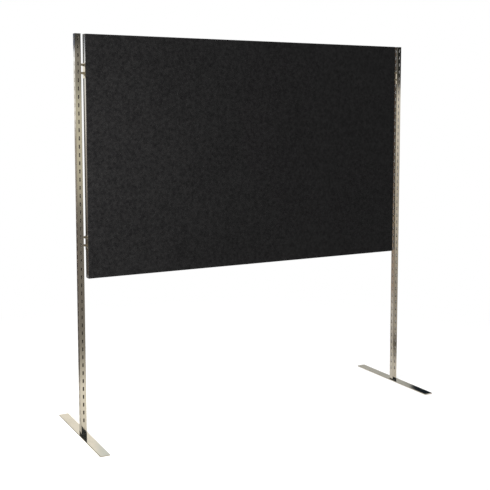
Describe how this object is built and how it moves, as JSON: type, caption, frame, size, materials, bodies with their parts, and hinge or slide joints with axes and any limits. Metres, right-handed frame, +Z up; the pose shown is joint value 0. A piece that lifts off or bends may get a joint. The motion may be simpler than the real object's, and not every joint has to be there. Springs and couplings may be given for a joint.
{
  "type": "partition wall",
  "caption": "Free-standing display partition: a fabric-covered panel hung on hook brackets between slotted square posts with flat bar feet.",
  "frame": {"origin": "on the floor midway between the two posts, under the middle of the panel", "axes": "+X along the panel's width to the right seen from the front, -Y out of the panel's front, +Z up"},
  "size_m": [1.982, 0.655, 1.98],
  "materials": {
    "chrome": "bright chrome plate",
    "black_plastic": "moulded, fine matt grain",
    "steel": "zinc-plated steel",
    "rubber": "matt black rubber",
    "fabric": "black needle-felt loop fabric",
    "board": "smooth hardboard",
    "timber": "planed softwood",
    "cardboard": "kraft board",
    "aluminium": "satin anodised"
  },
  "bodies": {
    "stands": {"left_post": "chrome", "left_post_cap": "black_plastic", "left_post_insert": "steel", "left_foot": "chrome", "left_foot_screws": "steel", "left_foot_pads": "rubber", "right_post": "chrome", "right_post_cap": "black_plastic", "right_post_insert": "steel", "right_foot": "chrome", "right_foot_screws": "steel", "right_foot_pads": "rubber"},
    "panel": {"left_stile": "timber", "left_dowels": "timber", "left_core_lattice": "cardboard", "left_edge_channel": "aluminium", "left_channel_caps": "black_plastic", "left_channel_screws": "steel", "left_upper_hook_bracket": "chrome", "left_lower_hook_bracket": "chrome", "left_bracket_screws": "steel", "right_stile": "timber", "right_dowels": "timber", "right_core_lattice": "cardboard", "right_edge_channel": "aluminium", "right_channel_caps": "black_plastic", "right_channel_screws": "steel", "right_upper_hook_bracket": "chrome", "right_lower_hook_bracket": "chrome", "right_bracket_screws": "steel", "front_fabric": "fabric", "back_fabric": "fabric", "front_board": "board", "back_board": "board", "bottom_rail": "timber", "top_rail": "timber", "centre_stile": "timber"}
  },
  "joints": [
    {"name": "panel_lift", "type": "slide", "parent": "stands", "child": "panel", "axis": [0, 0, 1], "range_m": [0, 0.008]}
  ]
}
